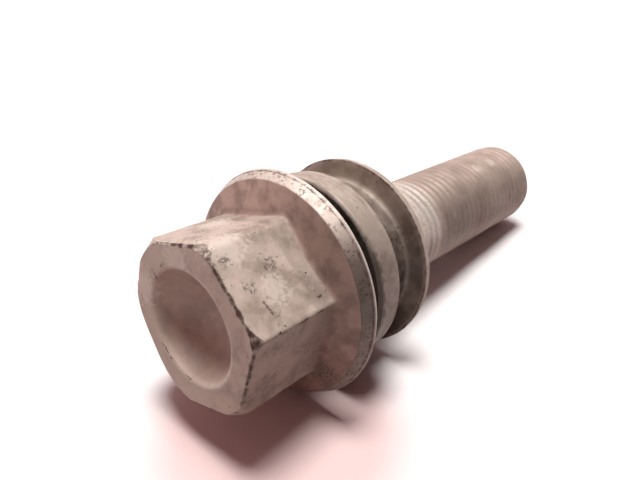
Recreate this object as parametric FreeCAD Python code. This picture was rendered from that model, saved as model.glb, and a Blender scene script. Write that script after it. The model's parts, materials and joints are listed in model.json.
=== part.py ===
import FreeCAD, Part
import math
import os

# A wheel bolt with a captive seat collar, lying on a flat surface on its flange and its thread's end.
# Lengths along the bolt are measured from the flange's front rim, with the head behind it and the tip ahead.

# Hexagon head
hex_across_flats = 19.0
hex_edge_round = 0.45
hex_turn_deg = 11.4
head_height = 12.6
head_chamfer_width = 1.05
head_chamfer_height = 1.55
head_chamfer_offset = 0.3
recess_radius = 6.75
recess_depth = 4.4
recess_lip_chamfer = 0.25

# Flange under the head
flange_front_radius = 13.6
flange_radius = 14.45
flange_rim_width = 1.62
flange_face_slope_deg = 17.0
flange_back_bevel = 0.3
head_fillet = 1.3
shank_root_chamfer = 0.6

# Thread, rolled on a blank of its pitch diameter
thread_diameter = 14.0
thread_pitch = 1.5
thread_end = 59.0
tip_chamfer_height = 0.9
tip_chamfer_width = 0.8

# Collar that turns and slides on the plain shank, held a little above its axis by the surface
collar_length = 10.2
collar_float = 2.75
collar_bore_clearance = 0.36
collar_lift = 0.19
collar_thread_clearance = 0.15
band_front_radius = 12.73
band_back_radius = 12.42
band_length = 4.2
band_shoulder_chamfer = 0.5
collar_front_chamfer = 0.4
neck_radius = 10.0
neck_slope_length = 0.7
neck_fillet = 0.8
disc_radius = 13.0
disc_thickness = 1.02
disc_rim_taper_deg = 7.7
bore_chamfer = 0.5

# Worked out from the sizes above
thread_radius = thread_diameter / 2
thread_triangle = thread_pitch * math.sqrt(3) / 2
shank_radius = thread_radius - thread_triangle * 3 / 8
flange_back = flange_rim_width + flange_back_bevel
collar_front = flange_back + collar_float
collar_back = collar_front + collar_length
collar_bore_radius = shank_radius + collar_bore_clearance
thread_start = collar_back + collar_thread_clearance
thread_crest_end = thread_end - tip_chamfer_height
lie_angle = math.atan2(flange_radius - thread_radius, thread_crest_end - flange_rim_width)
flange_height = flange_radius * math.cos(lie_angle) + flange_rim_width * math.sin(lie_angle)

AXIS = FreeCAD.Vector(0, 0, 1)
CENTRE = FreeCAD.Vector(0, 0, 0)
UPPER_SIDE = FreeCAD.Vector(-1, 0, 0)


def on_profile(radius, along):
    """A point of a turned section: its radius, and its place along the bolt."""
    return FreeCAD.Vector(radius, 0, along)


def line(start, end):
    return Part.makeLine(start, end)


def arc(start, middle, end):
    return Part.Arc(start, middle, end).toShape()


def lines(points):
    return [line(a, b) for a, b in zip(points, points[1:])]


def turned(edges):
    """The solid that a closed section makes when it is turned about the bolt's axis."""
    section = Part.Face(Part.Wire(edges))
    solid = section.revolve(CENTRE, AXIS, 360)
    return Part.Solid(solid.Shells[0]) if solid.ShapeType != "Solid" else solid


def hex_head():
    """The hexagon with rounded edges and the chamfer at its end face."""
    corner_radius = hex_across_flats / math.sqrt(3)
    corners = []
    for side in range(7):
        turn = math.radians(hex_turn_deg + 60 * side)
        corners.append(FreeCAD.Vector(corner_radius * math.cos(turn), corner_radius * math.sin(turn), -head_height))
    prism = Part.Face(Part.makePolygon(corners)).extrude(AXIS * head_height)
    upright = [e for e in prism.Edges if abs(e.tangentAt(e.FirstParameter).z) > 0.99]
    prism = prism.makeFillet(hex_edge_round, upright)
    reach = corner_radius + head_chamfer_offset
    face_radius = corner_radius - head_chamfer_width
    chamfer_slope = head_chamfer_height / head_chamfer_width
    envelope = turned(lines([
        on_profile(0, -head_height),
        on_profile(face_radius, -head_height),
        on_profile(reach, -head_height + (reach - face_radius) * chamfer_slope),
        on_profile(reach, 0),
        on_profile(0, 0),
        on_profile(0, -head_height),
    ]))
    offset_turn = math.radians(hex_turn_deg - 120)
    offset = FreeCAD.Vector(math.cos(offset_turn), math.sin(offset_turn), 0) * head_chamfer_offset
    envelope.translate(offset)
    return prism.common(envelope)


def flange_and_shank():
    """The coned flange, the plain shank and the thread's outer cylinder, turned in one."""
    cone_rise = flange_front_radius * math.tan(math.radians(flange_face_slope_deg))
    thread_lead = thread_radius - shank_radius
    return turned(lines([
        on_profile(0, -cone_rise),
        on_profile(flange_front_radius, 0),
        on_profile(flange_radius, flange_rim_width),
        on_profile(flange_radius - flange_back_bevel, flange_back),
        on_profile(shank_radius + shank_root_chamfer, flange_back),
        on_profile(shank_radius, flange_back + shank_root_chamfer),
        on_profile(shank_radius, thread_start),
        on_profile(thread_radius, thread_start + thread_lead),
        on_profile(thread_radius, thread_crest_end),
        on_profile(thread_radius - tip_chamfer_width, thread_end),
        on_profile(0, thread_end),
        on_profile(0, -cone_rise),
    ]))


def recess():
    """The round bowl pressed into the head's end face."""
    bowl_radius = (recess_radius ** 2 + recess_depth ** 2) / (2 * recess_depth)
    bowl_centre = -head_height + recess_depth - bowl_radius
    return Part.makeSphere(bowl_radius, on_profile(0, bowl_centre))


def is_head_root(edge):
    """True for an edge where the hexagon meets the flange's coned face."""
    middle = edge.valueAt((edge.FirstParameter + edge.LastParameter) / 2)
    radius = math.hypot(middle.x, middle.y)
    cone = (radius - flange_front_radius) * math.tan(math.radians(flange_face_slope_deg))
    inside_corner = radius < hex_across_flats / math.sqrt(3) + hex_edge_round
    return inside_corner and abs(middle.z - cone) < 1e-4


def is_recess_lip(edge):
    """True for the round edge of the bowl in the head's end face."""
    middle = edge.valueAt((edge.FirstParameter + edge.LastParameter) / 2)
    return abs(middle.z + head_height) < 1e-4 and abs(math.hypot(middle.x, middle.y) - recess_radius) < 1e-3


def make_bolt():
    blank = hex_head().fuse(flange_and_shank()).removeSplitter()
    blank = blank.makeFillet(head_fillet, [e for e in blank.Edges if is_head_root(e)])
    bolt = blank.cut(recess())
    bolt = bolt.makeChamfer(recess_lip_chamfer, [e for e in bolt.Edges if is_recess_lip(e)])
    return bolt.Solids[0]


def make_collar():
    """The spool-shaped collar: a chamfered band, a deep neck and a thin disc with a flat seat."""
    band_end = collar_front + band_length
    disc_front = collar_back - disc_thickness
    disc_back_radius = disc_radius - disc_thickness * math.tan(math.radians(disc_rim_taper_deg))
    fillet_start = on_profile(neck_radius, disc_front - neck_fillet)
    fillet_reach = neck_fillet * (1 - math.sqrt(0.5))
    fillet_middle = on_profile(neck_radius + fillet_reach, disc_front - fillet_reach)
    fillet_end = on_profile(neck_radius + neck_fillet, disc_front)
    outline = lines([
        on_profile(collar_bore_radius, collar_back - bore_chamfer),
        on_profile(collar_bore_radius, collar_front + bore_chamfer),
        on_profile(collar_bore_radius + bore_chamfer, collar_front),
        on_profile(band_front_radius - collar_front_chamfer, collar_front),
        on_profile(band_front_radius, collar_front + collar_front_chamfer),
        on_profile(band_back_radius, band_end),
        on_profile(band_back_radius - band_shoulder_chamfer, band_end + band_shoulder_chamfer),
        on_profile(neck_radius, band_end + band_shoulder_chamfer + neck_slope_length),
        fillet_start,
    ])
    outline.append(arc(fillet_start, fillet_middle, fillet_end))
    outline += lines([
        fillet_end,
        on_profile(disc_radius, disc_front),
        on_profile(disc_back_radius, collar_back),
        on_profile(collar_bore_radius + bore_chamfer, collar_back),
        on_profile(collar_bore_radius, collar_back - bore_chamfer),
    ])
    collar = turned(outline)
    collar.translate(UPPER_SIDE * collar_lift)
    return collar


def lay_down(pieces):
    """Lay the pieces on the surface, head towards -X, and centre their box on the origin."""
    turn = FreeCAD.Rotation(FreeCAD.Vector(0, 1, 0), 90 + math.degrees(lie_angle))
    lying = FreeCAD.Placement(FreeCAD.Vector(0, 0, flange_height), turn)
    for shape in pieces.values():
        shape.Placement = lying.multiply(shape.Placement)
    box = Part.makeCompound(list(pieces.values())).optimalBoundingBox()
    for shape in pieces.values():
        shape.translate(FreeCAD.Vector(-box.Center.x, -box.Center.y, 0))


pieces = {"bolt": make_bolt(), "collar": make_collar()}
lay_down(pieces)
os.makedirs("parts", exist_ok=True)
for name, shape in pieces.items():
    shape.exportStep(f"parts/{name}.step")
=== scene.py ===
import json
import math
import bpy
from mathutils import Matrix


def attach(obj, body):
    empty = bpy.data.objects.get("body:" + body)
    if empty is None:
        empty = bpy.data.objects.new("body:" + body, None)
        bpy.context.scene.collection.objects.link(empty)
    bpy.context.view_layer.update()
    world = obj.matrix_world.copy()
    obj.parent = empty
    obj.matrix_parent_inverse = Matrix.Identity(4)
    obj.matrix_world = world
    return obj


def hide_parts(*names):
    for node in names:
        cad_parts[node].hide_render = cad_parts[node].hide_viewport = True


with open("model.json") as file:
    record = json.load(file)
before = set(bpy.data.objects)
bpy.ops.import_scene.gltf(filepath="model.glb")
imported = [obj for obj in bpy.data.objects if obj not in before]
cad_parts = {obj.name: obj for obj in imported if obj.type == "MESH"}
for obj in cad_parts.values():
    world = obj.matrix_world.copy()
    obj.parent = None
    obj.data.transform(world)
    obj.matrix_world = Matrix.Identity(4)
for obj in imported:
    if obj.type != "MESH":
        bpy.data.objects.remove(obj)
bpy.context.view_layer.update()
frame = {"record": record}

from types import SimpleNamespace

import bmesh
import bpy
import numpy as np
from mathutils import Matrix, Vector, noise

# The bolt: one forged steel piece with a dished hexagon head, a coned flange, a plain shank and a rolled
# right-hand thread. It lies on its flange and the thread's end, so its own axis dips towards the tip.
# Lengths along it are in millimetres from the flange's front rim, and angles run from its upper side.
MM = 0.001
SIXTH_TURN = math.radians(60)
HEAD_HEIGHT = 12.6
END_FACE = -HEAD_HEIGHT
HEX_HALF_WIDTH = 9.5
HEX_EDGE_ROUNDS = (1.7, 0.45, 0.5, 0.6, 0.8, 1.2)
HEX_TURN = math.radians(11.4)
FACE_RADIUS = 9.92
FACE_MARGIN = 0.35
END_ROUND = 0.1
CHAMFER_SLOPE = 1.55 / 1.05
CHAMFER_OFFSET = 0.3
CHAMFER_TURN = HEX_TURN + SIXTH_TURN
EDGE_WEAR = 0.18
CHIP_DEPTH = 0.8
CHIPS_ROUND_HEAD = 9
SMALL_CHIPS_ROUND_HEAD = 19
CHIP_LEVEL = 0.3
WORN_SIDE = math.radians(232)
WORN_SPREAD = math.radians(28)
WORN_DEPTH = 0.95
RECESS_RADIUS = 6.75
RECESS_DEPTH = 4.4
RECESS_LIP_ROUND = 0.5
FLANGE_FRONT_RADIUS = 13.6
FLANGE_RADIUS = 14.45
FLANGE_RIM = 1.62
FLANGE_BEVEL = 0.3
FLANGE_BACK = FLANGE_RIM + FLANGE_BEVEL
FLANGE_SLOPE = math.tan(math.radians(17.0))
HEAD_FILLET = 0.8
RIM_FRONT_ROUND = 0.3
RIM_BACK_ROUND = 0.15
RIM_LINE = 1.2
RIM_LINE_ROWS = (RIM_LINE - 0.2, RIM_LINE, RIM_LINE + 0.16)
BEVEL_ROUND = 0.05
NECK_RADIUS = 6.51
NECK_FILLET = 0.7
COLLAR_BACK = 14.87
SHOULDER = COLLAR_BACK + 0.15
SHOULDER_LENGTH = 0.5
SHOULDER_ROUND = 0.1
SHANK_ROUND = 0.2
THREAD_RADIUS = 7.0
THREAD_ROOT = 6.76
PITCH = 1.5
CREST_SHARE = 0.0625
FLANK_SHARE = 0.3
ROOT_ROUNDING = 0.35
RIDGE_STEPS = 8
THREAD_START = 23.2
THREAD_FADE_IN = 2.0
THREAD_END = 59.0
TIP_CHAMFER = 0.9
TIP_RADIUS = 6.2
OPEN_ROOTS_END = 28.0
DIRT_PATCH = 5.5
MOST_FILLED = 0.85
KNOCK_DEPTH = 0.03
KNOCK_SIZE = 2.4
ROW_SPACING = 0.4

mounts = {m["name"]: m for m in frame["record"]["mounts"]}
axis = Vector(mounts["thread"]["axis"]).normalized()
upper = (Vector((0, 0, 1)) - axis * axis.z).normalized()
side = axis.cross(upper)
flange_centre = Vector(mounts["hex_drive"]["pos_m"]) + axis * HEAD_HEIGHT * MM
lying = Matrix((upper, side, axis)).transposed().to_4x4()
lying.translation = flange_centre


def around_hexagon():
    """Angles round the bolt, close together at the hexagon's six edges."""
    edge_share = math.radians(5)
    flat_part = np.linspace(-SIXTH_TURN / 2, -edge_share, 11)[:-1]
    edge_part = np.linspace(-edge_share, 0, 10)[:-1]
    half = np.concatenate([flat_part, edge_part])
    sector = np.concatenate([half, [0.0], -half[:0:-1]])
    return np.concatenate([sector + HEX_TURN + SIXTH_TURN * k for k in range(6)])


def hexagon_radius(angles):
    """Distance from the axis to the hexagon's wall, with each edge worn to its own rounding."""
    edge = np.round((angles - HEX_TURN) / SIXTH_TURN)
    from_edge = angles - HEX_TURN - edge * SIXTH_TURN
    rounding = np.array(HEX_EDGE_ROUNDS)[edge.astype(int) % 6]
    slant = math.cos(SIXTH_TURN / 2)
    flat = HEX_HALF_WIDTH / np.cos(np.abs(from_edge) - SIXTH_TURN / 2)
    centre = (HEX_HALF_WIDTH - rounding) / slant
    across = centre * np.sin(from_edge)
    rounded = centre * np.cos(from_edge) + np.sqrt(np.maximum(rounding ** 2 - across ** 2, 0))
    on_edge = np.abs(from_edge) < np.arctan2(rounding / 2, centre + rounding * slant)
    return np.where(on_edge, rounded, flat)


def head_edge(angles):
    """Radius where the head's end face ends, and the place where its wall starts, with the edge's chips."""
    wall = hexagon_radius(angles)
    aside = CHAMFER_OFFSET * np.sin(angles - CHAMFER_TURN)
    chamfer = CHAMFER_OFFSET * np.cos(angles - CHAMFER_TURN) + np.sqrt(FACE_RADIUS ** 2 - aside ** 2)
    from_worn = (angles - WORN_SIDE + math.pi) % (2 * math.pi) - math.pi
    chamfer = chamfer - WORN_DEPTH * np.exp(-(from_worn / WORN_SPREAD) ** 2)
    round_head = [Vector((math.cos(a), math.sin(a), CHIP_LEVEL)) for a in angles]
    chips = np.array([noise.noise(place * CHIPS_ROUND_HEAD) for place in round_head])
    small_chips = np.array([noise.noise(place * SMALL_CHIPS_ROUND_HEAD) for place in round_head])
    wear = EDGE_WEAR * (1 + CHIP_DEPTH * (chips + 0.5 * small_chips))
    face_edge = np.minimum(wall - wear, chamfer)
    return face_edge, END_FACE + np.maximum(wear, (wall - chamfer) * CHAMFER_SLOPE)


def rounded_section(corners, arc_steps=6):
    """Rows of (radius, along) for every angle at once, with each corner's own rounding."""
    points = [np.stack(np.broadcast_arrays(radius, along), -1) for radius, along, _ in corners]
    rows = [points[0]]
    for before, corner, after, (_, _, rounding) in zip(points, points[1:], points[2:], corners[1:]):
        if rounding == 0:
            rows.append(corner)
            continue
        back = (before - corner) / np.linalg.norm(before - corner, axis=-1, keepdims=True)
        ahead = (after - corner) / np.linalg.norm(after - corner, axis=-1, keepdims=True)
        half_angle = np.arccos(np.clip((back * ahead).sum(-1, keepdims=True), -1, 1)) / 2
        reach = rounding / np.tan(half_angle)
        start, end, pull = corner + back * reach, corner + ahead * reach, np.sin(half_angle)
        for t in np.linspace(0, 1, arc_steps + 1):
            a, b, c = (1 - t) ** 2, 2 * t * (1 - t) * pull, t * t
            rows.append((a * start + b * corner + c * end) / (a + b + c))
    rows.append(points[-1])
    return rows


def divided(rows, longest):
    """The same rows with more between those that lie far apart."""
    close = [rows[0]]
    for a, b in zip(rows, rows[1:]):
        parts = max(1, math.ceil(np.linalg.norm(b - a, axis=-1).max() / longest))
        close += [a + (b - a) * k / parts for k in range(1, parts + 1)]
    return close


def turned_points(rows, angles):
    """Places of the rows' points in the bolt's own frame: upwards, sideways and along."""
    radius = np.array([row[..., 0] for row in rows])
    along = np.array([row[..., 1] for row in rows])
    return np.stack([radius * np.cos(angles), radius * np.sin(angles), along], -1)


def wall_faces(first, rows, count):
    """Quads between neighbouring rows of a closed ring of points."""
    k, j = np.meshgrid(np.arange(rows - 1), np.arange(count), indexing="ij")
    low, right = first + k * count + j, first + k * count + (j + 1) % count
    return np.stack([low, right, right + count, low + count], -1).reshape(-1, 4)


def dented(points, depth, size):
    """The points moved in or out a little, as knocks and scale leave a forged skin."""
    moved = points.reshape(-1, 3).copy()
    for k, place in enumerate(moved):
        knock = noise.noise(Vector(place) / size) + 0.5 * noise.noise(Vector(place) * 2.7 / size)
        across = math.hypot(place[0], place[1])
        moved[k, :2] *= 1 + depth * knock / max(across, 1.0)
    return moved


def metal_piece(name, points, faces, marks):
    """A closed, smooth mesh with each point's place in the bolt's own frame and its marks: wear, dirt,
    stains, and painted highlights and shade.
    """
    mesh = bpy.data.meshes.new(name)
    mesh.from_pydata(points.tolist(), [], faces.tolist())
    mesh.attributes.new("own_place", "FLOAT_VECTOR", "POINT").data.foreach_set("vector", points.ravel())
    for mark, amount in marks.items():
        mesh.attributes.new(mark, "FLOAT", "POINT").data.foreach_set("value", np.clip(amount, 0, 1))
    shell = bmesh.new()
    shell.from_mesh(mesh)
    bmesh.ops.remove_doubles(shell, verts=shell.verts, dist=2e-4)
    bmesh.ops.dissolve_degenerate(shell, edges=shell.edges, dist=1e-4)
    bmesh.ops.recalc_face_normals(shell, faces=shell.faces)
    shell.to_mesh(mesh)
    shell.free()
    mesh.transform(lying @ Matrix.Scale(MM, 4))
    mesh.shade_smooth()
    piece = bpy.data.objects.new(name, mesh)
    bpy.context.scene.collection.objects.link(piece)
    return piece


def rim_radius(along):
    """Radius of the flange's tapered rim."""
    return FLANGE_FRONT_RADIUS + (FLANGE_RADIUS - FLANGE_FRONT_RADIUS) * along / FLANGE_RIM


def recess_corners():
    """Places down the round bowl from its middle to just inside its lip."""
    bowl = (RECESS_RADIUS ** 2 + RECESS_DEPTH ** 2) / (2 * RECESS_DEPTH)
    mouth = math.asin(RECESS_RADIUS / bowl)
    bottom = END_FACE + RECESS_DEPTH
    turns = mouth * np.concatenate([[0.0], np.linspace(0.07, 0.93, 14)])
    return [(bowl * math.sin(turn), bottom - bowl * (1 - math.cos(turn)), 0) for turn in turns]


def head_and_shank(angles):
    """Rows from the middle of the recess, over the head and flange, to the start of the thread."""
    wall = hexagon_radius(angles)
    face_edge, wall_start = head_edge(angles)
    corners = recess_corners() + [
        (RECESS_RADIUS, END_FACE, RECESS_LIP_ROUND),
        (face_edge - FACE_MARGIN, END_FACE, 0),
        (face_edge, END_FACE, END_ROUND),
        (wall, wall_start, END_ROUND),
        (wall, wall_start + FACE_MARGIN, 0),
        (wall, (wall - FLANGE_FRONT_RADIUS) * FLANGE_SLOPE, HEAD_FILLET),
        (FLANGE_FRONT_RADIUS, 0.0, RIM_FRONT_ROUND),
    ]
    corners += [(rim_radius(along), along, 0) for along in RIM_LINE_ROWS]
    corners += [
        (FLANGE_RADIUS, FLANGE_RIM, RIM_BACK_ROUND),
        (FLANGE_RADIUS - FLANGE_BEVEL, FLANGE_BACK, BEVEL_ROUND),
        (NECK_RADIUS, FLANGE_BACK, NECK_FILLET),
        (NECK_RADIUS, SHOULDER, SHOULDER_ROUND),
        (THREAD_RADIUS, SHOULDER + SHOULDER_LENGTH, SHANK_ROUND),
        (THREAD_RADIUS, THREAD_START, 0),
    ]
    corners = [(r + 0 * angles, s + 0 * angles, rounding) for r, s, rounding in corners]
    return divided(rounded_section(corners), ROW_SPACING)


def rising(value, start, length):
    """0 up to the start, then rising to 1 over the length."""
    return np.clip((value - start) / length, 0, 1)


def falling(value, end, length):
    """1 at first, then falling over the length to 0 at the end."""
    return np.clip((end - value) / length, 0, 1)


def thread_radius(along, phase, filled):
    """Radius of the rolled thread: flat crests, rounded roots that dirt part fills, and the tip's chamfer."""
    flank = rising(np.abs(phase - 0.5), CREST_SHARE, FLANK_SHARE)
    drop = ROOT_ROUNDING * flank * flank * (3 - 2 * flank) + (1 - ROOT_ROUNDING) * flank
    depth = rising(along, THREAD_START, THREAD_FADE_IN) * (1 - filled)
    radius = THREAD_RADIUS - (THREAD_RADIUS - THREAD_ROOT) * drop * depth
    chamfer = TIP_RADIUS + (THREAD_END - along) * (THREAD_RADIUS - TIP_RADIUS) / TIP_CHAMFER
    return np.minimum(radius, chamfer)


def filled_roots(along, angles):
    """How far old dirt fills the thread's roots, in soft patches and more towards the tip."""
    patches = np.zeros(along.shape)
    for (k, j), s in np.ndenumerate(along):
        place = Vector((THREAD_RADIUS * math.cos(angles[j]), THREAD_RADIUS * math.sin(angles[j]), s))
        patches[k, j] = noise.noise(place / DIRT_PATCH)
    towards_tip = rising(along, OPEN_ROOTS_END, 6)
    return np.clip(0.2 + 1.2 * patches + 0.45 * towards_tip, 0, MOST_FILLED)


def helix_points(angles):
    """Rows that follow the thread's helix, held at both ends to flat rings."""
    turns = math.ceil((THREAD_END - THREAD_START) / PITCH) + 2
    k = np.arange(-RIDGE_STEPS, turns * RIDGE_STEPS)[:, None]
    share = (angles - angles[0])[None, :] / (2 * math.pi)
    along = np.clip(THREAD_START + PITCH * (k / RIDGE_STEPS + share), THREAD_START, THREAD_END)
    phase = (k % RIDGE_STEPS) / RIDGE_STEPS + 0 * share
    radius = thread_radius(along, phase, filled_roots(along, angles))
    return np.stack([radius * np.cos(angles), radius * np.sin(angles), along], -1)


def helix_faces(first, rows, count):
    """Quads along the helix; its last point in a turn meets the first point of the next."""
    k, j = np.meshgrid(np.arange(rows - 1), np.arange(count - 1), indexing="ij")
    low = first + k * count + j
    faces = np.stack([low, low + 1, low + 1 + count, low + count], -1).reshape(-1, 4)
    k = np.arange(rows - 1 - RIDGE_STEPS)
    low, right = first + k * count + count - 1, first + (k + RIDGE_STEPS) * count
    seam = np.stack([low, right, right + count, low + count], -1)
    return np.concatenate([faces, seam])


def tip_cap(angles):
    """Rows that close the thread's end with a flat face."""
    shares = np.linspace(1, 0, 9)
    return [np.stack([TIP_RADIUS * f + 0 * angles, THREAD_END + 0 * angles], -1) for f in shares]


SKIN = 0.1
CONE_DEPTH = 4.0
NEAR_EDGE = math.degrees(HEX_TURN + SIXTH_TURN)
LOW_EDGE = NEAR_EDGE + 60
RIM_BACK_EDGE = 1.45
PALE_SHANK_END = 28.8
TARNISH_START = 27.0
INSIDE_TIP = 5.0
UNDERSIDE_FADE = 28.0


def near(value, centre, spread):
    """1 at the centre, fading out over the spread on both sides."""
    return np.exp(-((value - centre) / spread) ** 2)


def on_near_side(turn, start, ramp, end=178.0):
    """1 on the bolt's nearer, lower side, rising from a start angle and gone again at the underside."""
    return rising(turn, start, ramp) * falling(turn, end, UNDERSIDE_FADE)


def places_on_bolt(points):
    """Each point's height, side, length, radius and turn in degrees, and the hexagon's edges at that turn."""
    turn = np.degrees(np.arctan2(points[:, 1], points[:, 0]))
    face_edge, wall_start = head_edge(np.radians(turn))
    return SimpleNamespace(
        up=points[:, 0], aside=points[:, 1], along=points[:, 2],
        radius=np.hypot(points[:, 0], points[:, 1]), turn=turn,
        wall=hexagon_radius(np.radians(turn)), face_edge=face_edge, wall_start=wall_start,
    )


def on_rim(at):
    return (at.radius > FLANGE_FRONT_RADIUS - SKIN) & (at.along > -SKIN) & (at.along < FLANGE_BACK)


def on_cone(at):
    return (at.along > -CONE_DEPTH) * (at.along < 0) * rising(at.radius, at.wall + 0.03, 0.06)


def on_flats(at):
    return (np.abs(at.radius - at.wall) < 0.4) * (at.along < -0.5) * (at.along > END_FACE + SKIN)


def end_face_stain_and_shade(at):
    """A light stain on the end face, and painted shade that makes it darker on its near side."""
    amount = 0.06 + 0.3 * on_near_side(at.turn, -20, 60, 165)
    return amount * (at.along < END_FACE + 0.15) * (at.radius < at.face_edge)


def pale_wear_and_highlight_places(at):
    """Where the coat is rubbed off: the rim, the plain shank and the recess's lip, with painted highlights on
    the rim's upper side and the lip's near side.
    """
    # Painted highlight over real wear: the rim is paler on its upper side than on its near, lower side.
    upper_rim = on_rim(at) * 0.65 * (1 - 0.9 * on_near_side(at.turn, 23, 25))
    rim_edge = on_rim(at) * (at.along > RIM_BACK_EDGE)
    shank = (at.along > SHOULDER) * falling(at.along, PALE_SHANK_END, 1.4)
    # Painted highlight over real wear on the near side of the recess's lip.
    lip = near(at.radius, RECESS_RADIUS + 0.15, 0.25) * (at.along < END_FACE + 0.4)
    return np.maximum.reduce([upper_rim, rim_edge, shank, 0.6 * lip * on_near_side(at.turn, -20, 40)])


def grime_and_shade_places(at):
    """Where the coat is darker: dirt and painted shade in the flange's gap and the roots, painted shade at
    the head's root and low on the rim, cone, flats and thread, and tarnish on the thread.
    """
    # Dirt and painted shade in the gap behind the flange.
    behind_flange = (at.along > FLANGE_BACK - 0.05) & (at.along < SHOULDER + 0.2)
    # Dirt and painted shade in the thread's roots, most near the collar.
    in_root = (THREAD_RADIUS - at.radius) / (THREAD_RADIUS - THREAD_ROOT)
    in_root = in_root * (at.along > THREAD_START) * (at.radius > INSIDE_TIP)
    roots = in_root * np.clip((34 - at.along) / 16, 0.12, 0.5)
    # Painted shade on the thread's near, lower side, laid in with its tarnish.
    shaded = on_near_side(at.turn, 22, 36) * falling(at.turn, 112, 35)
    mid_thread = falling(at.along, 54, 20) * np.maximum(falling(at.turn, 125, 35), 0.3)
    tarnish_and_shade = (0.05 + 0.22 * mid_thread + 0.34 * shaded) * (at.radius > INSIDE_TIP)
    tarnish_and_shade = tarnish_and_shade * rising(at.along, TARNISH_START, 3)
    # Painted shade where the hexagon's flats meet the cone.
    head_root = (at.along > -CONE_DEPTH) * (at.along < -SKIN) * near(at.radius, at.wall + 0.35, 0.5)
    # Painted shade on the near, lower side of the rim, the cone and the low flat.
    low_rim = on_rim(at) * (at.along < 1.4) * on_near_side(at.turn, 32, 22)
    low_rim = low_rim * np.maximum(falling(at.turn, 120, 40), 0.65)
    low_cone = on_cone(at) * on_near_side(at.turn, -10, 50) * np.maximum(falling(at.turn, 115, 45), 0.2)
    low_flat = (np.abs(at.radius - at.wall) < 0.2) * (at.along < -0.8)
    low_flat = low_flat * (at.turn > NEAR_EDGE) * (at.turn < LOW_EDGE)
    return np.maximum.reduce([
        1.0 * behind_flange, roots, tarnish_and_shade, 0.4 * head_root, 0.9 * low_rim, 0.45 * low_cone, 0.2 * low_flat,
    ])


def edge_dirt_and_shade_places(at):
    """Where dirt and painted shade darken edges: round the end face, on the hexagon's near edge and along the
    rim.
    """
    # Dirt and painted shade on the end face's bevel, darkest on its upper near side.
    bevel = rising(at.radius, at.face_edge - 0.2, 0.2) * falling(at.along, at.wall_start + 0.2, 0.2)
    amount = np.clip(1.6 - np.abs(at.turn - 45) / 85, 0.35, 1) * (1 - 0.3 * near(at.turn, 11, 7))
    end_edge = bevel * amount * (at.along < END_FACE + 3.2)
    near_edge = on_flats(at) * near(at.turn, NEAR_EDGE + 1, 0.9) * falling(at.along, -1.2, 0.8)
    rim_line = on_rim(at) * near(at.along, RIM_LINE, 0.16)
    return np.maximum.reduce([end_edge, 0.9 * rim_line, 0.75 * near_edge])


def stain_and_shade_places(at):
    """Where the coat is brown, from stain and painted shade: the cone, the bowl, the end face and a little on
    the thread.
    """
    # Painted shade in the bowl, darkest round a spot off its middle and towards its lower side.
    bowl_spot = near(np.hypot(at.up - 0.5, at.aside + 2.6), 0, 4.0)
    bowl_low = rising(-at.up, 0.5, 4)
    in_bowl = falling(at.radius, RECESS_RADIUS + SKIN, 0.5) * (at.along < -5)
    bowl = (0.16 + 0.5 * bowl_spot + 0.3 * bowl_low) * in_bowl
    # The cone's brown is stain and painted shade.
    return np.maximum.reduce([on_cone(at), bowl, end_face_stain_and_shade(at), 0.2 * rising(at.along, TARNISH_START, 3)])


def pitted_places(at):
    """Where the coat is pitted: most on the flats and the rim."""
    behind_collar = at.along > SHOULDER
    everywhere = 0.15 + 0 * at.along
    return np.maximum.reduce([
        everywhere, 1.0 * on_flats(at), 0.8 * on_rim(at), 0.5 * behind_collar, 2 * end_face_stain_and_shade(at),
    ])


def bolt_marks(points):
    """How pale, grimy, dark-edged, pitted, stained and specked the bolt is at each point, with painted
    highlights and shade among the pale, grimy, dark-edged and stained marks.
    """
    at = places_on_bolt(points)
    return {
        "pale_wear_and_highlight": pale_wear_and_highlight_places(at),
        "grime_and_shade": grime_and_shade_places(at),
        "edge_dirt_and_shade": edge_dirt_and_shade_places(at),
        "pitted": pitted_places(at),
        "browned": stain_and_shade_places(at),
        "specked": on_rim(at) * rising(at.along, -0.05, 0.1) * falling(at.along, 1.5, 0.2),
    }


def make_bolt():
    angles = around_hexagon()
    count = len(angles)
    head = dented(turned_points(head_and_shank(angles), angles), KNOCK_DEPTH, KNOCK_SIZE)
    helix = helix_points(angles)
    cap = turned_points(tip_cap(angles), angles)
    points = np.concatenate([head, helix.reshape(-1, 3), cap.reshape(-1, 3)])
    cap_first = len(head) + helix.shape[0] * count
    faces = np.concatenate([
        wall_faces(0, len(head) // count, count),
        helix_faces(len(head), helix.shape[0], count),
        wall_faces(cap_first, cap.shape[0], count),
    ])
    return metal_piece("wheel_bolt", points, faces, bolt_marks(points))


def add_node(tree, kind, inputs, **settings):
    """A node with its settings made and its inputs set or linked."""
    node = tree.nodes.new(kind)
    for name, value in settings.items():
        setattr(node, name, value)
    for name, value in inputs.items():
        if isinstance(value, bpy.types.NodeSocket):
            tree.links.new(value, node.inputs[name])
        else:
            node.inputs[name].default_value = value
    return node


def read_mark(tree, name, output="Fac"):
    """A mesh's own mark as a value, or its own place."""
    node = add_node(tree, "ShaderNodeAttribute", {}, attribute_name=name)
    return node.outputs[output]


def mottle(tree, place, size_mm, detail):
    """Soft noise whose lumps are about the given size."""
    inputs = {"Vector": place, "Scale": 1 / size_mm, "Detail": detail, "Roughness": 0.6}
    return add_node(tree, "ShaderNodeTexNoise", inputs).outputs[0]


def step(tree, value, low, high, first=0.0, last=1.0):
    """A smooth change from first to last as the value goes from low to high."""
    inputs = {"Value": value, "From Min": low, "From Max": high, "To Min": first, "To Max": last}
    return add_node(tree, "ShaderNodeMapRange", inputs, interpolation_type="SMOOTHSTEP").outputs[0]


def sums(tree, operation, first, second, **settings):
    """Two values worked out into one."""
    return add_node(tree, "ShaderNodeMath", {0: first, 1: second}, operation=operation, **settings).outputs[0]


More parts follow.
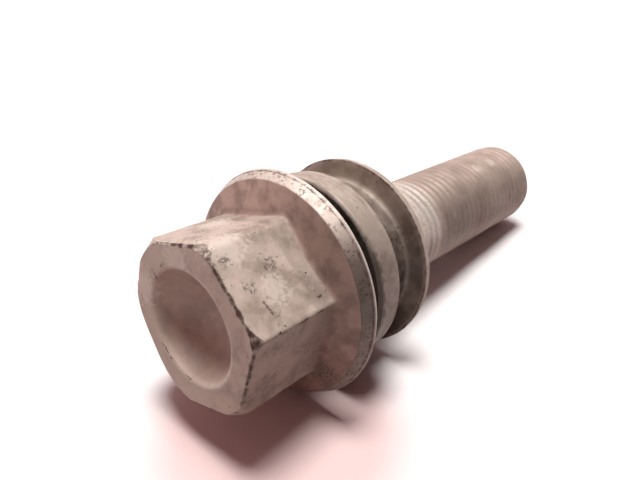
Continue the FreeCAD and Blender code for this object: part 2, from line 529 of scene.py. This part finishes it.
def times(tree, first, second):
    return sums(tree, "MULTIPLY", first, second)


def between(tree, operation, first, second, output="Vector"):
    """Two places or directions set against each other."""
    return add_node(tree, "ShaderNodeVectorMath", {0: first, 1: second}, operation=operation).outputs[output]


def raggedness(tree, place, size_mm, detail, amount):
    """Noise about zero that breaks up a mark's edge."""
    return times(tree, sums(tree, "SUBTRACT", mottle(tree, place, size_mm, detail), 0.5), amount)


def blended(tree, amount, under, over, blend="MIX"):
    """One colour laid over another."""
    inputs = {0: amount, 6: under, 7: over}
    return add_node(tree, "ShaderNodeMix", inputs, data_type="RGBA", blend_type=blend).outputs[2]


def new_group(name, inputs, outputs):
    """An empty node group with its sockets."""
    group = bpy.data.node_groups.new(name, "ShaderNodeTree")
    for socket, kind in inputs:
        group.interface.new_socket(socket, in_out="INPUT", socket_type=kind)
    for socket, kind in outputs:
        group.interface.new_socket(socket, in_out="OUTPUT", socket_type=kind)
    return group, group.nodes.new("NodeGroupInput").outputs, group.nodes.new("NodeGroupOutput").inputs


COLOUR = "NodeSocketColor"
VALUE = "NodeSocketFloat"
PLACE = "NodeSocketVector"
COAT_CLOUD = 3.6
COAT_PATCH = 0.9
COAT_GRAIN = 0.16
PIT_SIZE = 0.5
PIT_CLUSTER = 3.1
RELIEF_DEPTH = 0.1


def zinc_coat():
    """Dull zinc flake: cloudy grey-beige with stains, fine grain and clustered dark pits."""
    sockets = [("Metal", COLOUR), ("Stain", COLOUR), ("Pit", COLOUR), ("Pitting", VALUE)]
    results = [("Colour", COLOUR), ("Roughness", VALUE), ("Height", VALUE)]
    group, given, out = new_group("zinc_coat", sockets, results)
    place = read_mark(group, "own_place", "Vector")
    cloud = mottle(group, place, COAT_CLOUD, 3)
    patch = mottle(group, place, COAT_PATCH, 4)
    grain = mottle(group, place, COAT_GRAIN, 2)
    pits = step(group, mottle(group, place, PIT_SIZE, 3), 0.6, 0.68)
    clusters = step(group, mottle(group, place, PIT_CLUSTER, 2), 0.5, 0.64)
    pits = times(group, times(group, pits, clusters), given["Pitting"])
    browned = times(group, step(group, cloud, 0.42, 0.66), step(group, patch, 0.3, 0.6, 0.55, 1.0))
    browned = times(group, browned, step(group, given["Pitting"], 0.0, 1.0, 0.25, 1.0))
    colour = blended(group, browned, given["Metal"], given["Stain"])
    patchy = step(group, patch, 0.3, 0.7, 0.93, 1.06)
    grainy = step(group, grain, 0.3, 0.7, 0.94, 1.05)
    colour = blended(group, 1.0, colour, times(group, patchy, grainy), "MULTIPLY")
    colour = blended(group, pits, colour, given["Pit"])
    group.links.new(colour, out["Colour"])
    smooth_to_rough = step(group, patch, 0.3, 0.7, 0.5, 0.66)
    group.links.new(sums(group, "ADD", smooth_to_rough, times(group, pits, 0.25)), out["Roughness"])
    rise = sums(group, "ADD", times(group, patch, 0.7), times(group, grain, 0.3))
    group.links.new(sums(group, "SUBTRACT", rise, times(group, pits, 0.8)), out["Height"])
    return group


def soft_spot_mark():
    """A soft spot with a ragged edge, round a given place, used for rubs, smudges and painted highlights."""
    group, given, out = new_group("soft_spot_mark", [("Centre", PLACE), ("Reach", VALUE)], [("Mask", VALUE)])
    place = read_mark(group, "own_place", "Vector")
    away = between(group, "DISTANCE", place, given["Centre"], "Value")
    share = sums(group, "DIVIDE", away, given["Reach"])
    share = sums(group, "ADD", share, raggedness(group, place, 0.55, 4, 2.6))
    group.links.new(step(group, share, 1.0, 0.35), out["Mask"])
    return group


def scratch():
    """A thin ragged line between two places."""
    sockets = [("From", PLACE), ("To", PLACE), ("Width", VALUE)]
    group, given, out = new_group("scratch", sockets, [("Mask", VALUE)])
    place = read_mark(group, "own_place", "Vector")
    way = between(group, "SUBTRACT", given["To"], given["From"])
    off = between(group, "SUBTRACT", place, given["From"])
    reached = between(group, "DOT_PRODUCT", off, way, "Value")
    whole = between(group, "DOT_PRODUCT", way, way, "Value")
    share = sums(group, "DIVIDE", reached, whole, use_clamp=True)
    along_way = add_node(group, "ShaderNodeVectorMath", {0: way, "Scale": share}, operation="SCALE")
    away = between(group, "DISTANCE", off, along_way.outputs[0], "Value")
    share_of_width = sums(group, "DIVIDE", away, given["Width"])
    ragged = sums(group, "ADD", share_of_width, raggedness(group, place, 0.3, 3, 2.6))
    group.links.new(step(group, ragged, 1.0, 0.5), out["Mask"])
    return group


def new_finish(name, metallic):
    """A material, its node tree and its shader."""
    material = bpy.data.materials.new(name)
    material.use_nodes = True
    tree = material.node_tree
    shader = tree.nodes["Principled BSDF"]
    shader.inputs["Metallic"].default_value = metallic
    return material, tree, shader


def put_group(tree, group, inputs):
    return add_node(tree, "ShaderNodeGroup", inputs, node_tree=group).outputs


def link_coat(tree, shader, coat, colour, relief):
    """The finished colour on the shader, with the coat's own roughness and relief."""
    tree.links.new(colour, shader.inputs["Base Color"])
    tree.links.new(coat["Roughness"], shader.inputs["Roughness"])
    inputs = {"Height": coat["Height"], "Strength": relief, "Distance": RELIEF_DEPTH * MM}
    bump = add_node(tree, "ShaderNodeBump", inputs)
    tree.links.new(bump.outputs[0], shader.inputs["Normal"])


zinc = zinc_coat()
soft_spot = soft_spot_mark()
scratched = scratch()
COAT_METALLIC = 0.2
ZINC = (0.67, 0.565, 0.485, 1)
ZINC_STAIN = (0.41, 0.33, 0.275, 1)
PIT = (0.09, 0.065, 0.05, 1)
DARK_BROWN = (0.30, 0.195, 0.16, 1)
LIGHT_BROWN = (0.54, 0.37, 0.31, 1)
RUBBED_ZINC_AND_HIGHLIGHT = (0.82, 0.74, 0.65, 1)
BARE_METAL_AND_HIGHLIGHT = (0.84, 0.79, 0.72, 1)
SPECK = (0.16, 0.11, 0.085, 1)
SMUDGE = (0.12, 0.09, 0.07, 1)
SCRATCH_DIRT = (0.11, 0.07, 0.052, 1)
GRIME_AND_SHADE = (0.045, 0.03, 0.022, 1)
EDGE_DIRT_AND_SHADE = (0.07, 0.037, 0.027, 1)
BOLT_RELIEF = 0.35
# Dark smudges on the flats, the cone, the end face's edge and the end face: middle and reach
DARK_MARKS = [
    ((9.2, 3.9, -11.0), 1.1),
    ((8.1, 5.2, -6.3), 1.3),
    ((7.0, 6.4, -9.9), 1.0),
    ((-3.5, 9.0, -1.6), 1.2),
    ((-6.7, 9.9, -0.5), 2.0),
    ((10.2, 2.6, -12.4), 0.7),
    ((9.3, 3.8, -12.4), 0.55),
    ((8.2, 5.1, -12.4), 0.6),
    ((6.9, 6.6, -12.4), 0.5),
    ((5.3, 8.4, -12.4), 0.5),
    ((-1.0, 9.5, -12.3), 0.6),
    ((6.0, -4.3, -12.6), 0.75),
    ((3.9, -6.1, -12.6), 0.8),
]
# Scratches on the near flat, the end face and the upper flat: both ends and the width
SCRATCHES = [
    ((5.75, 7.85, -9.3), (4.85, 8.85, -9.05), 0.2),
    ((-4.64, -4.9, -12.6), (-5.9, -3.2, -12.6), 0.2),
    ((-5.9, -3.2, -12.6), (-6.8, 0.1, -12.6), 0.2),
    ((9.3, -3.6, -9.0), (9.0, -4.6, -5.0), 0.15),
]
# Pale rubs on the near flat, the end face, the upper flat and the thread: middle and reach. Those on the near
# flat's upper corner, the end face's top and far side and the upper flat are partly painted highlights.
PALE_RUBS_AND_HIGHLIGHTS = [
    ((10.3, 2.7, -10.0), 3.2),
    ((6.2, 7.4, -7.2), 2.1),
    ((7.6, -2.2, -12.6), 2.8),
    ((1.5, -8.3, -12.6), 3.0),
    ((8.6, -4.2, -5.4), 2.6),
    ((8.3, -5.2, -3.6), 1.8),
    ((6.6, 2.4, 45.2), 1.3),
    ((6.6, 2.3, 49.9), 1.2),
]


def bolt_finish():
    """The zinc coat with its brown stains, rubs, specks, smudges, scratches and dirt, and painted shade and
    highlights, one over the other.
    """
    material, tree, shader = new_finish("worn_zinc_bolt", COAT_METALLIC)
    pitting = read_mark(tree, "pitted")
    coat = put_group(tree, zinc, {"Metal": ZINC, "Stain": ZINC_STAIN, "Pit": PIT, "Pitting": pitting})
    place = read_mark(tree, "own_place", "Vector")
    blotch = step(tree, mottle(tree, place, 2.4, 5), 0.36, 0.64)
    brown = blended(tree, blotch, DARK_BROWN, LIGHT_BROWN)
    colour = blended(tree, times(tree, read_mark(tree, "browned"), 0.85), coat["Colour"], brown)
    # Pale rubs, some of them partly painted highlights.
    for centre, reach in PALE_RUBS_AND_HIGHLIGHTS:
        spot = put_group(tree, soft_spot, {"Centre": centre, "Reach": reach})["Mask"]
        colour = blended(tree, times(tree, spot, 0.7), colour, RUBBED_ZINC_AND_HIGHLIGHT)
    # Pale wear, with painted highlights on the rim's upper side and the recess's lip.
    patchy = step(tree, mottle(tree, place, 0.5, 4), 0.36, 0.56, 0.4, 1.0)
    wear_and_highlight = times(tree, read_mark(tree, "pale_wear_and_highlight"), patchy)
    colour = blended(tree, times(tree, wear_and_highlight, 0.8), colour, BARE_METAL_AND_HIGHLIGHT)
    specks = step(tree, mottle(tree, place, 0.32, 3), 0.52, 0.62)
    specks = times(tree, specks, step(tree, mottle(tree, place, 1.7, 3), 0.42, 0.6))
    colour = blended(tree, times(tree, specks, read_mark(tree, "specked")), colour, SPECK)
    for centre, reach in DARK_MARKS:
        spot = put_group(tree, soft_spot, {"Centre": centre, "Reach": reach})["Mask"]
        speckled = times(tree, spot, step(tree, mottle(tree, place, 0.4, 3), 0.44, 0.6))
        colour = blended(tree, times(tree, speckled, 0.75), colour, SMUDGE)
    for start, end, width in SCRATCHES:
        cut = put_group(tree, scratched, {"From": start, "To": end, "Width": width})["Mask"]
        colour = blended(tree, times(tree, cut, 0.72), colour, SCRATCH_DIRT)
    # Dirt and painted shade in one dark colour.
    colour = blended(tree, times(tree, read_mark(tree, "grime_and_shade"), 0.9), colour, GRIME_AND_SHADE)
    # Dirt and painted shade along edges, with a ragged border.
    ragged = sums(tree, "ADD", read_mark(tree, "edge_dirt_and_shade"), raggedness(tree, place, 0.9, 3, 1.9))
    colour = blended(tree, step(tree, ragged, 0.3, 1.2), colour, EDGE_DIRT_AND_SHADE)
    link_coat(tree, shader, coat, colour, BOLT_RELIEF)
    return material


bolt = make_bolt()
bolt.data.materials.append(bolt_finish())
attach(bolt, "bolt")
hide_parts("bolt")

# The collar: a turned steel spool that spins on the plain shank under the flange. A chamfered band runs
# into a deep neck and a thin disc, whose far face seats flat on the wheel. It has the bolt's zinc coat.
COLLAR_FRONT = 4.67
COLLAR_LIFT = 0.19
BORE_RADIUS = 6.873
BORE_CHAMFER = 0.5
BORE_ROUND = 0.1
BAND_FRONT_RADIUS = 12.73
BAND_BACK_RADIUS = 12.42
BAND_END = COLLAR_FRONT + 4.2
BAND_CHAMFER = 0.4
BAND_FRONT_ROUND = 0.12
BAND_BACK_ROUND = 0.5
BAND_SHOULDER = 0.5
BAND_SHOULDER_ROUND = 0.4
BAND_INSIDE = 11.5
COLLAR_NECK = 10.0
NECK_SLOPE = 0.7
NECK_START_ROUND = 0.5
NECK_END_FILLET = 0.8
DISC_RADIUS = 13.0
DISC_BACK_RADIUS = 12.86
DISC_FRONT = COLLAR_BACK - 1.02
DISC_FRONT_ROUND = 0.12
DISC_BACK_ROUND = 0.15
COLLAR_KNOCK_DEPTH = 0.02
COLLAR_KNOCK_SIZE = 2.0
COLLAR_ROW_SPACING = 0.6
COLLAR_ANGLES = 180
COLLAR_ZINC = (0.56, 0.48, 0.41, 1)
COLLAR_STAIN = (0.36, 0.285, 0.23, 1)
COLLAR_PIT = (0.10, 0.075, 0.06, 1)
COLLAR_PITTING = 0.8
COLLAR_RUBBED_AND_HIGHLIGHT = (0.74, 0.66, 0.57, 1)
COLLAR_EDGE_DIRT_AND_SHADE = (0.10, 0.076, 0.06, 1)
COLLAR_RELIEF = 0.3
ROUND_STREAKS = (0.4, 0.4, 1.3)


def collar_marks(points):
    """How pale, grimy and dark-edged the collar is at each point, with painted highlights and shade among
    them.
    """
    radius = np.hypot(points[:, 0] - COLLAR_LIFT, points[:, 1])
    along = points[:, 2]
    turn = np.degrees(np.arctan2(points[:, 1], points[:, 0]))
    low_side = on_near_side(turn, 20, 40)
    past_front = along > COLLAR_FRONT + 0.3
    # Dirt and painted shade in the gap and bore, and painted shade in the neck, low on the disc's face and on
    # the band's near side.
    in_gap = (along < COLLAR_FRONT + 0.2) | (radius < BORE_RADIUS + BORE_CHAMFER + 0.3)
    in_neck = falling(radius, BAND_BACK_RADIUS, 0.5) * (along > BAND_END - SKIN) * (along < DISC_FRONT - 0.3)
    on_disc = (along > DISC_FRONT - 0.4) * (along < DISC_FRONT + SKIN)
    on_disc = on_disc * falling(radius, DISC_RADIUS - 0.1, 0.2)
    low_band = past_front * (along < BAND_END) * (radius > BAND_INSIDE) * low_side
    grime_and_shade = [1.0 * in_gap, in_neck * (0.6 + 0.3 * low_side), 0.68 * on_disc * low_side, 0.4 * low_band]
    # Pale wear with painted highlights: the disc's rim and the band's upper side lighter than their near
    # side, and a painted highlight along the band's rear crease.
    disc_rim = (radius > DISC_BACK_RADIUS - SKIN) * (along > DISC_FRONT - SKIN)
    crease = near(along, BAND_END - 0.1, 0.45) * (radius > 12.0)
    upper_band = past_front * (along < BAND_END + 1.0) * (radius > 10.6) * (1 - low_side)
    pale = [disc_rim * (1 - 0.75 * low_side), crease * (1 - 0.6 * low_side), 0.65 * upper_band]
    # Dirt and painted shade on the band's front edge, darker on its near side.
    band_front = falling(along, COLLAR_FRONT + 1.9, 1.5) * (radius > BAND_INSIDE)
    band_front = band_front * (0.15 + 0.85 * on_near_side(turn, 28, 37))
    disc_edge = near(along, DISC_FRONT, 0.25) * (radius > 12.6)
    return {
        "pale_wear_and_highlight": np.maximum.reduce(pale),
        "grime_and_shade": np.maximum.reduce(grime_and_shade),
        "edge_dirt_and_shade": np.maximum(band_front, 0.7 * disc_edge),
    }


def make_collar():
    angles = np.linspace(0, 2 * math.pi, COLLAR_ANGLES, endpoint=False)
    middle = (COLLAR_FRONT + COLLAR_BACK) / 2
    corners = [
        (BORE_RADIUS, middle, 0),
        (BORE_RADIUS, COLLAR_FRONT + BORE_CHAMFER, BORE_ROUND),
        (BORE_RADIUS + BORE_CHAMFER, COLLAR_FRONT, BORE_ROUND),
        (BAND_FRONT_RADIUS - BAND_CHAMFER, COLLAR_FRONT, BAND_FRONT_ROUND),
        (BAND_FRONT_RADIUS, COLLAR_FRONT + BAND_CHAMFER, BAND_FRONT_ROUND),
        (BAND_BACK_RADIUS, BAND_END, BAND_BACK_ROUND),
        (BAND_BACK_RADIUS - BAND_SHOULDER, BAND_END + BAND_SHOULDER, BAND_SHOULDER_ROUND),
        (COLLAR_NECK, BAND_END + BAND_SHOULDER + NECK_SLOPE, NECK_START_ROUND),
        (COLLAR_NECK, DISC_FRONT, NECK_END_FILLET),
        (DISC_RADIUS, DISC_FRONT, DISC_FRONT_ROUND),
        (DISC_BACK_RADIUS, COLLAR_BACK, DISC_BACK_ROUND),
        (BORE_RADIUS + BORE_CHAMFER, COLLAR_BACK, BORE_ROUND),
        (BORE_RADIUS, COLLAR_BACK - BORE_CHAMFER, BORE_ROUND),
        (BORE_RADIUS, middle, 0),
    ]
    corners = [(r + 0 * angles, s + 0 * angles, rounding) for r, s, rounding in corners]
    rows = divided(rounded_section(corners), COLLAR_ROW_SPACING)
    points = dented(turned_points(rows, angles), COLLAR_KNOCK_DEPTH, COLLAR_KNOCK_SIZE) + (COLLAR_LIFT, 0, 0)
    return metal_piece("seat_collar", points, wall_faces(0, len(rows), len(angles)), collar_marks(points))


def collar_finish():
    """The zinc coat, duller than the bolt's, with pale streaks and painted highlights round the band, and
    dirt and painted shade in the gap and neck.
    """
    material, tree, shader = new_finish("worn_zinc_collar", COAT_METALLIC)
    coat_values = {"Metal": COLLAR_ZINC, "Stain": COLLAR_STAIN, "Pit": COLLAR_PIT, "Pitting": COLLAR_PITTING}
    coat = put_group(tree, zinc, coat_values)
    place = read_mark(tree, "own_place", "Vector")
    streaks = mottle(tree, between(tree, "MULTIPLY", place, ROUND_STREAKS), 0.8, 4)
    # Pale streaks, partly painted highlights.
    wear_and_highlight = times(tree, read_mark(tree, "pale_wear_and_highlight"), step(tree, streaks, 0.4, 0.62))
    colour = blended(tree, times(tree, wear_and_highlight, 0.7), coat["Colour"], COLLAR_RUBBED_AND_HIGHLIGHT)
    smear = step(tree, mottle(tree, place, 1.6, 4), 0.32, 0.6, 0.7, 1.0)
    # Dirt and painted shade in the gap, the neck, on the disc and low on the band.
    colour = blended(tree, times(tree, read_mark(tree, "grime_and_shade"), smear), colour, GRIME_AND_SHADE)
    # Dirt and painted shade along the band's front edge and the disc's edge.
    ragged = sums(tree, "ADD", read_mark(tree, "edge_dirt_and_shade"), mottle(tree, place, 0.9, 5))
    colour = blended(tree, step(tree, ragged, 0.8, 1.5), colour, COLLAR_EDGE_DIRT_AND_SHADE)
    link_coat(tree, shader, coat, colour, COLLAR_RELIEF)
    return material


collar = make_collar()
collar.data.materials.append(collar_finish())
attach(collar, "collar")
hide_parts("collar")

# The table: a plain white top on which the bolt lies, with a pale, painted pink shade round the head.
# What it throws back at the bolt is dimmer and pinker than its look, and away from the bolt it is pure white.
FLOOR_SIZE = 3.0
FLOOR_WHITE = (0.95, 0.95, 0.95, 1)
FLOOR_PINK_SHADE = (0.86, 0.68, 0.665, 1)
FLOOR_SCATTER = (0.19, 0.108, 0.105, 1)
FLOOR_ROUGHNESS = 0.9
FLOOR_SPECULAR = 0.1
PINK_SHADE_CENTRE = (-0.029, -0.0065, 0.0)
PINK_SHADE_REACH = 0.0185
PINK_SHADE_FULL = PINK_SHADE_REACH * 0.6
WHITE_FROM = 0.09
WHITE_FULLY = 0.16

floor_mesh = bpy.data.meshes.new("table_top")
half = FLOOR_SIZE / 2
floor_corners = [(-half, -half, 0), (half, -half, 0), (half, half, 0), (-half, half, 0)]
floor_mesh.from_pydata(floor_corners, [], [(0, 1, 2, 3)])
floor = bpy.data.objects.new("table_top", floor_mesh)
bpy.context.scene.collection.objects.link(floor)
floor_paint, floor_tree, floor_shader = new_finish("table_white", 0.0)
ray = floor_tree.nodes.new("ShaderNodeLightPath").outputs
mirrored = sums(floor_tree, "MAXIMUM", ray["Is Glossy Ray"], ray["Is Transmission Ray"])
shown = sums(floor_tree, "MAXIMUM", ray["Is Camera Ray"], mirrored)
here = floor_tree.nodes.new("ShaderNodeNewGeometry").outputs["Position"]
# A painted pink shade round the head, fading to white.
from_head = between(floor_tree, "DISTANCE", here, PINK_SHADE_CENTRE, "Value")
look = blended(floor_tree, step(floor_tree, from_head, PINK_SHADE_FULL, PINK_SHADE_REACH), FLOOR_PINK_SHADE, FLOOR_WHITE)
floor_tree.links.new(blended(floor_tree, shown, FLOOR_SCATTER, look), floor_shader.inputs["Base Color"])
away = add_node(floor_tree, "ShaderNodeVectorMath", {0: here}, operation="LENGTH").outputs["Value"]
bleached = times(floor_tree, step(floor_tree, away, WHITE_FROM, WHITE_FULLY), shown)
floor_tree.links.new(bleached, floor_shader.inputs["Emission Strength"])
floor_shader.inputs["Emission Color"].default_value = (1, 1, 1, 1)
floor_shader.inputs["Roughness"].default_value = FLOOR_ROUGHNESS
floor_shader.inputs["Specular IOR Level"].default_value = FLOOR_SPECULAR
floor.data.materials.append(floor_paint)

# The light: one soft round lamp that hangs over the table, almost straight above the bolt.
# A faint pinkish sky fills the shadows, brighter from the far side than from the near side.
LAMP_FROM = Vector((0.0, 0.01, 1.0)).normalized()
LAMP_DISTANCE = 0.7
LAMP_SIZE = 0.24
LAMP_POWER = 5.2
LAMP_COLOUR = (1.0, 0.97, 0.955)
BRIGHT_SIDE = Vector((-0.05, 0.75, 0.65)).normalized()
FAR_FILL = (0.37, 0.225, 0.225, 1)
NEAR_FILL = (0.04, 0.02, 0.02, 1)
NEAR_FILL_UP_TO = -0.4

lamp_data = bpy.data.lights.new("overhead_lamp", "AREA")
lamp_data.shape = "DISK"
lamp_data.size = LAMP_SIZE
lamp_data.energy = LAMP_POWER
lamp_data.color = LAMP_COLOUR
lamp = bpy.data.objects.new("overhead_lamp", lamp_data)
lamp.location = LAMP_FROM * LAMP_DISTANCE
lamp.rotation_euler = LAMP_FROM.to_track_quat("Z", "Y").to_euler()
bpy.context.scene.collection.objects.link(lamp)

world = bpy.data.worlds.new("studio")
world.use_nodes = True
bpy.context.scene.world = world
sky = world.node_tree
towards = sky.nodes.new("ShaderNodeTexCoord").outputs["Generated"]
facing = between(sky, "DOT_PRODUCT", towards, BRIGHT_SIDE, "Value")
fill = blended(sky, step(sky, facing, NEAR_FILL_UP_TO, 1.0), NEAR_FILL, FAR_FILL)
sky.links.new(fill, sky.nodes["Background"].inputs["Color"])

# The camera: close to the head, looking down along the bolt, with the tip pointing away to the right.
# Its place and directions are given in the bolt's own frame, from the flange's centre.
CAMERA_FROM_FLANGE = (37.7, 42.5, -44.3)
CAMERA_RIGHT = (0.0855, 0.7466, 0.6597)
CAMERA_DOWN = (-0.8903, 0.3544, -0.2857)
IMAGE_WIDTH = 640
FOCAL_PIXELS = 589.0
SENSOR_WIDTH = 36.0
CLIP_START = 0.001

camera_data = bpy.data.cameras.new("camera")
camera_data.sensor_width = SENSOR_WIDTH
camera_data.lens = SENSOR_WIDTH * FOCAL_PIXELS / IMAGE_WIDTH
camera_data.clip_start = CLIP_START
camera = bpy.data.objects.new("camera", camera_data)
right = Vector(CAMERA_RIGHT).normalized()
above = -(Vector(CAMERA_DOWN) - right * right.dot(Vector(CAMERA_DOWN))).normalized()
stand = Matrix((right, above, right.cross(above))).transposed().to_4x4()
stand.translation = Vector(CAMERA_FROM_FLANGE) * MM
camera.matrix_world = lying @ stand
bpy.context.scene.collection.objects.link(camera)
bpy.context.scene.camera = camera

bpy.context.scene.view_settings.view_transform = "Standard"
